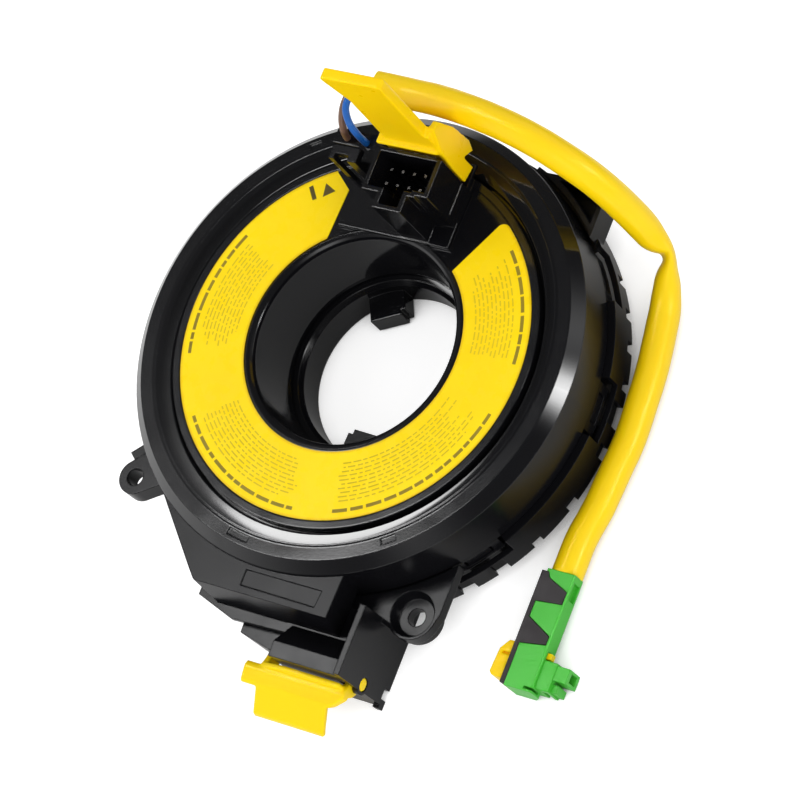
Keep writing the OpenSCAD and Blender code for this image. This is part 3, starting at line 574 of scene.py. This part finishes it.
def alignment_marks():
    bm = bmesh.new()
    length, width = BAR_HALF
    turned_mark(bm, BAR_AT, ((length, width), (length, -width), (-length, -width), (-length, width)))
    turned_mark(bm, TRIANGLE_AT, TRIANGLE)
    onto_label(bm, "label_alignment_marks", ink_marks)


fine_bars()
bold_bars()
alignment_marks()

# Floor, in metres: it glows to the eye and in the gloss, and the glow fades near the object as a painted
# shadow; its far part glows bright to the eye and is painted dark in the gloss
FLOOR_HALF = 4.0
FLOOR_Z = -0.1 * MM
FAR_Y = (0.13, 0.17)
PAPER = ((0.62, 0.62, 0.62), (0.64, 0.64, 0.64))
# The far part's colour is painted shade, dark in the reflections, while its glow keeps it white to the eye.
FAR_PAINTED_SHADE = (0.05, 0.05, 0.05)
# How far the floor looks for the object above it, and the shares of open sky that count as none and all: less
# open sky paints shadow into the floor's glow
NEAR_REACH = 0.014
NEAR_SKY = (0.12, 0.50)
WIDE_REACH = 0.05
WIDE_SKY = (0.30, 0.95)
# How brightly the near and the far part glow, to the eye and in the gloss; near the object this glow is
# darkened as a painted shadow
EYE_LEVELS = (0.74, 1.4)
GLOSS_LEVELS = (0.45, 0.05)


def floor_look():
    look = Look("studio_floor")

    def sky(reach, shares):
        """How open the sky is over a spot, as a share, which paints the object's shadow into the floor's
        glow.
        """
        seen = look.node("ShaderNodeAmbientOcclusion", {"Distance": reach}, out=1, samples=6)
        return look.span(seen, *shares)

    rays = look.tree.nodes.new("ShaderNodeLightPath").outputs
    far = look.span(look.node("ShaderNodeSeparateXYZ", {0: look.place}, out=1), *FAR_Y)
    glow_to_eye_with_painted_shadow = look.math("MULTIPLY", sky(NEAR_REACH, NEAR_SKY), look.span(far, 0.0, 1.0, *EYE_LEVELS))
    glow_in_gloss_with_painted_shadow = look.math("MULTIPLY", sky(WIDE_REACH, WIDE_SKY), look.span(far, 0.0, 1.0, *GLOSS_LEVELS))
    paper = look.mix(look.noise(scale=30, detail=3.0), *PAPER)
    look.set("Roughness", 0.9)
    look.set("Specular IOR Level", 0.0)
    # The far part takes the dark colour of painted shade.
    look.set("Base Color", look.mix(far, paper, FAR_PAINTED_SHADE))
    look.set("Emission Color", (1, 1, 1, 1))
    # The floor glows for the eye and for the gloss, each glow darkened near the object: a painted shadow.
    look.set("Emission Strength", look.math("ADD", look.math("MULTIPLY", rays["Is Camera Ray"], glow_to_eye_with_painted_shadow),
                                            look.math("MULTIPLY", rays["Is Glossy Ray"], glow_in_gloss_with_painted_shadow)))
    return look.material


def lay_floor():
    bm = bmesh.new()
    bmesh.ops.create_grid(bm, x_segments=2, y_segments=2, size=FLOOR_HALF)
    floor = from_bmesh(bm, "studio_floor", smooth=False)
    floor.location = (0, 0, FLOOR_Z)
    paint(floor, floor_look())


lay_floor()

# Lamps that the gloss doesn't show: name, direction, size in metres and power in watts
LAMP_DISTANCE = 1.3
LAMPS = (("softbox_left", (-0.75, -0.15, 0.64), (1.15, 1.15), 5.0),
         ("softbox_right", (0.80, 0.0, 0.60), (0.6, 0.8), 3.6),
         ("softbox_back", (0.1, 0.85, 0.5), (1.2, 0.5), 2.2),
         ("softbox_front", (0.45, -0.80, 0.42), (1.2, 0.5), 7.0))


def softbox(name, direction, size, power):
    data = bpy.data.lights.new(name, "AREA")
    data.shape = "RECTANGLE"
    data.size, data.size_y = size
    data.energy = power
    lamp = link(bpy.data.objects.new(name, data))
    d = Vector(direction).normalized()
    lamp.location = d * LAMP_DISTANCE
    lamp.rotation_euler = d.to_track_quat("Z", "Y").to_euler()
    lamp.visible_glossy = False


for row in LAMPS:
    softbox(*row)

# World: how bright the sky is for all rays but the glossy ones, and the dark room that those see
SKY_LEVEL = 0.62
ROOM_LEVEL = 0.10
# Soft panels of light in the room: direction, width and level
PANELS = (((-0.56, 0.07, 0.825), 0.08, 1.5),
          ((0.89, 0.24, 0.39), 0.078, 26.0),
          ((0.74, 0.58, 0.33), 0.15, 1.3),
          ((0.28, -0.72, 0.635), 0.15, 2.6),
          ((-0.80, -0.55, 0.20), 0.35, 1.2))
# Round lamp in the room: direction, the cosines of the angles where it ends and where it is full, and level
DISC_TOWARD = (-0.465, 0.045, 0.884)
DISC_EDGE = (0.9888, 0.9950)
DISC_LEVEL = 18.0


def make_world():
    world = bpy.data.worlds.new("studio_world")
    bpy.context.scene.world = world
    world.use_nodes = True
    w = Nodes(world.node_tree)
    toward = w.node("ShaderNodeTexCoord")

    def facing(direction):
        """The cosine of the angle between where a ray goes and a direction."""
        return w.vector("DOT_PRODUCT", {0: toward, 1: tuple(Vector(direction).normalized())}, out=1)

    room = ROOM_LEVEL
    for direction, width, level in PANELS:
        fall = w.math("EXPONENT", w.math("DIVIDE", w.math("SUBTRACT", facing(direction), 1.0), width * width))
        room = w.math("ADD", w.math("MULTIPLY", fall, level), room)
    disc = w.span(facing(DISC_TOWARD), *DISC_EDGE, shape="SMOOTHSTEP")
    room = w.math("ADD", w.math("MULTIPLY", disc, DISC_LEVEL), room)
    glossy = w.node("ShaderNodeLightPath", out="Is Glossy Ray")
    background = w.tree.nodes["Background"]
    w.feed(background.inputs["Strength"], w.node("ShaderNodeMix", {0: glossy, 2: SKY_LEVEL, 3: room}))
    w.feed(background.inputs["Color"], (1, 1, 1, 1))


make_world()
